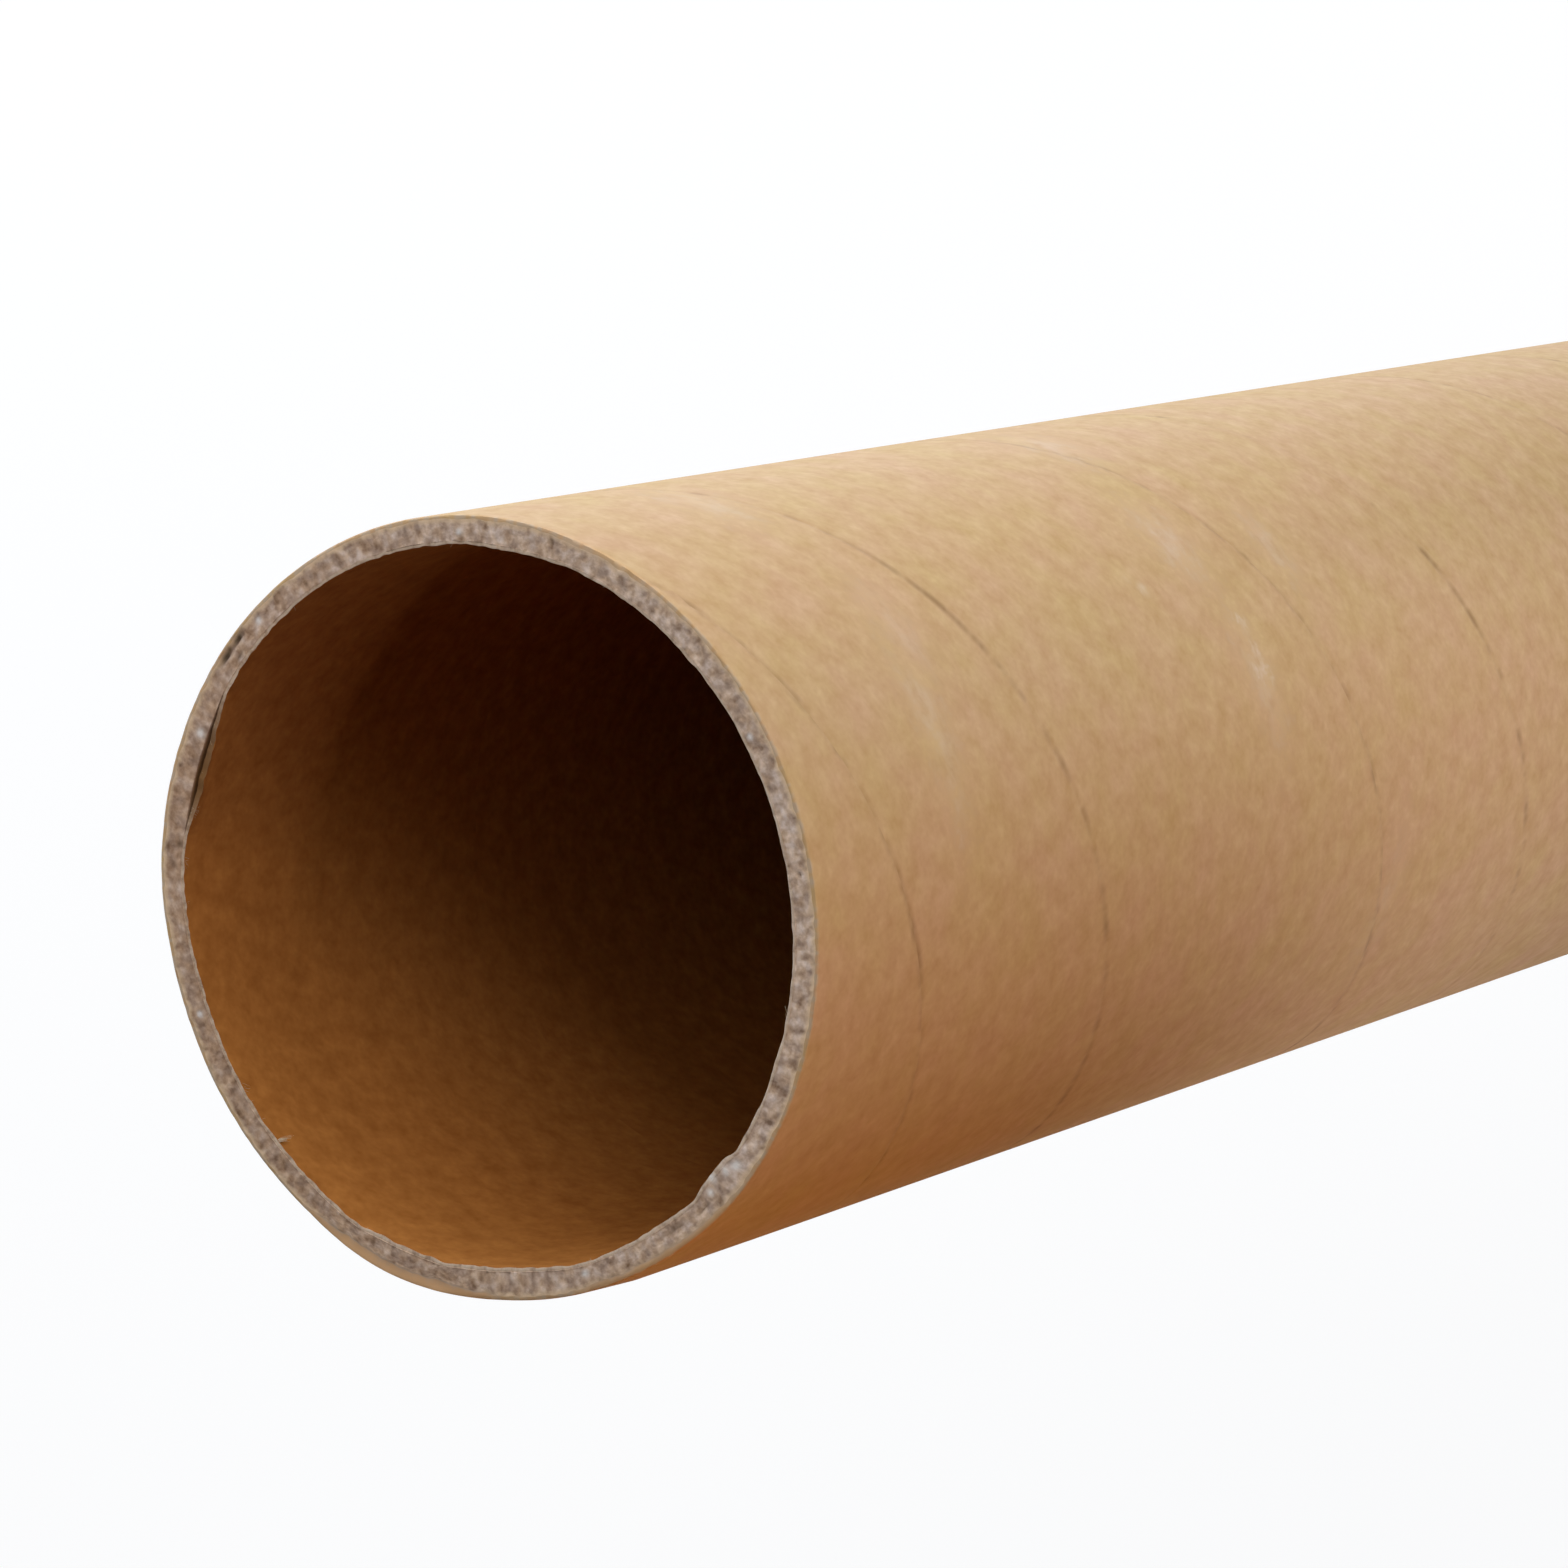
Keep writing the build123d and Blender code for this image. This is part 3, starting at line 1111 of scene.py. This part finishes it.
def buildFloor():
    half = stage["floorSize"] / 2
    corners = np.array([(-half, -half, 0), (half, -half, 0), (half, half, 0), (-half, half, 0)])
    floor = newObject("floor", meshFrom("floor", corners, [(np.arange(4)[None], 0)]))
    material, tree, dull = startMaterial("pale_floor")
    setInputs(dull, {"Base Color": stage["floorColour"], "Roughness": 1.0, "Specular IOR Level": 0.0})
    pale = tree.nodes.new("ShaderNodeBsdfDiffuse")
    setInputs(pale, {"Color": stage["shownColour"]})
    white = tree.nodes.new("ShaderNodeEmission")
    setInputs(white, {"Strength": 1.0})
    shown = mixShaders(tree, stage["shownWhite"], pale.outputs[0], white.outputs[0])
    whole = mixShaders(tree, seenRays(tree), dull.outputs[0], shown)
    tree.links.new(whole, tree.nodes["Material Output"].inputs[0])
    floor.data.materials.append(material)


def buildWorld():
    world = bpy.data.worlds.new("studio")
    world.use_nodes = True
    tree = world.node_tree
    shown = tree.nodes["Background"]
    setInputs(shown, {"Color": (1, 1, 1, 1), "Strength": 1.0})
    light = tree.nodes.new("ShaderNodeBackground")
    setInputs(light, {"Color": stage["ambient"], "Strength": stage["ambientStrength"]})
    whole = mixShaders(tree, seenRays(tree), light.outputs[0], shown.outputs[0])
    tree.links.new(whole, tree.nodes["World Output"].inputs[0])
    bpy.context.scene.world = world


# Soft lamps, placed from the middle of the top end and aimed at it: place, size, power and colour
lamps = {
    "key": ((0.754, -0.965, 0.679), 0.7, 9.45, (0.95, 0.98, 1.0)),
    "side": ((0.700, -1.212, 0.024), 0.55, 4.7, (1.0, 1.0, 1.0)),
    "over": ((1.352, -0.362, 0.000), 1.0, 13.0, (0.64, 0.83, 1.0)),
    "back": ((0.996, 0.836, 0.000), 0.9, 25.0, (0.584, 0.739, 1.0)),
    "back_high": ((0.455, 0.977, 0.727), 0.9, 4.25, (0.80, 0.90, 1.0)),
    "front": ((0.495, -0.495, 1.212), 1.0, 4.05, (1.0, 1.0, 1.0)),
}

# Spots, placed likewise, each with its own aim. The first lights the side that is lowest in the
# picture, from about 100 mm under the top end down to the foot, and the second the front of the
# wall under that end. The third is warm, as paper throws light back, and lights the lowest side
# near the end. The last shines across the open end on the first of the bore.
# Each has place, aim, cone in degrees, blend, radius, power and colour.
spots = {
    "low_spot": ((-0.90, -0.52, -0.405), (0, 0, -0.405), 36.5, 0.4, 0.05, 25.2, (0.94, 0.92, 1.0)),
    "wall_spot": ((-0.05, -1.00, -0.08), (0, 0, -0.08), 15, 1.0, 0.1, 4.0, (1.0, 1.0, 1.0)),
    "warm_spot": ((-0.55, -0.20, -0.12), (0, 0, 0.03), 38, 1.0, 0.1, 5.4, (1.0, 0.44, 0.02)),
    "mouth_spot": ((-0.306, -0.257, 0.136), (0, 0, 0.029), 12, 1.0, 0.02, 1.4, (1.0, 0.85, 1.0)),
}


def fromTop(place):
    # A place measured from the middle of the top end
    return Vector(place) + Vector((0, 0, tubeLength))


def placeLamp(light, place, aim, power, colour):
    light.energy = power
    light.color = colour
    holder = newObject(light.name, light)
    holder.location = fromTop(place)
    holder.rotation_euler = (Vector(place) - Vector(aim)).to_track_quat("Z", "Y").to_euler()
    holder.visible_camera = False


def addLamp(name, place, size, power, colour):
    light = bpy.data.lights.new(name, "AREA")
    light.shape = "SQUARE"
    light.size = size
    placeLamp(light, place, (0, 0, 0), power, colour)


def addSpot(name, place, aim, cone, blend, radius, power, colour):
    light = bpy.data.lights.new(name, "SPOT")
    light.spot_size = math.radians(cone)
    light.spot_blend = blend
    light.shadow_soft_size = radius
    placeLamp(light, place, aim, power, colour)


# Camera: placed from the middle of the top end, rolled so that the tube runs off to the right
view = {
    "lens": 143.15,
    "sensor": 36,
    "clip": (0.01, 100),
    "place": (0.0, -0.3754, 0.52065),
    "look": (0.00807, 0.54147, -0.84068),
    "upward": (0.97023, -0.20773, -0.12448),
}


def addCamera():
    back = -Vector(view["look"]).normalized()
    right = Vector(view["upward"]).cross(back).normalized()
    upward = back.cross(right)
    camera = newObject("camera", bpy.data.cameras.new("camera"))
    camera.data.lens = view["lens"]
    camera.data.sensor_width = view["sensor"]
    camera.data.clip_start, camera.data.clip_end = view["clip"]
    turned = Matrix((right, upward, back)).transposed().to_4x4()
    camera.matrix_world = Matrix.Translation(fromTop(view["place"])) @ turned
    bpy.context.scene.camera = camera


buildFloor()
buildWorld()
for name, settings in lamps.items():
    addLamp(name, *settings)
for name, settings in spots.items():
    addSpot(name, *settings)
addCamera()
bpy.context.scene.view_settings.view_transform = "Standard"
print("stage: floor, world,", len(lamps) + len(spots), "lamps, camera")
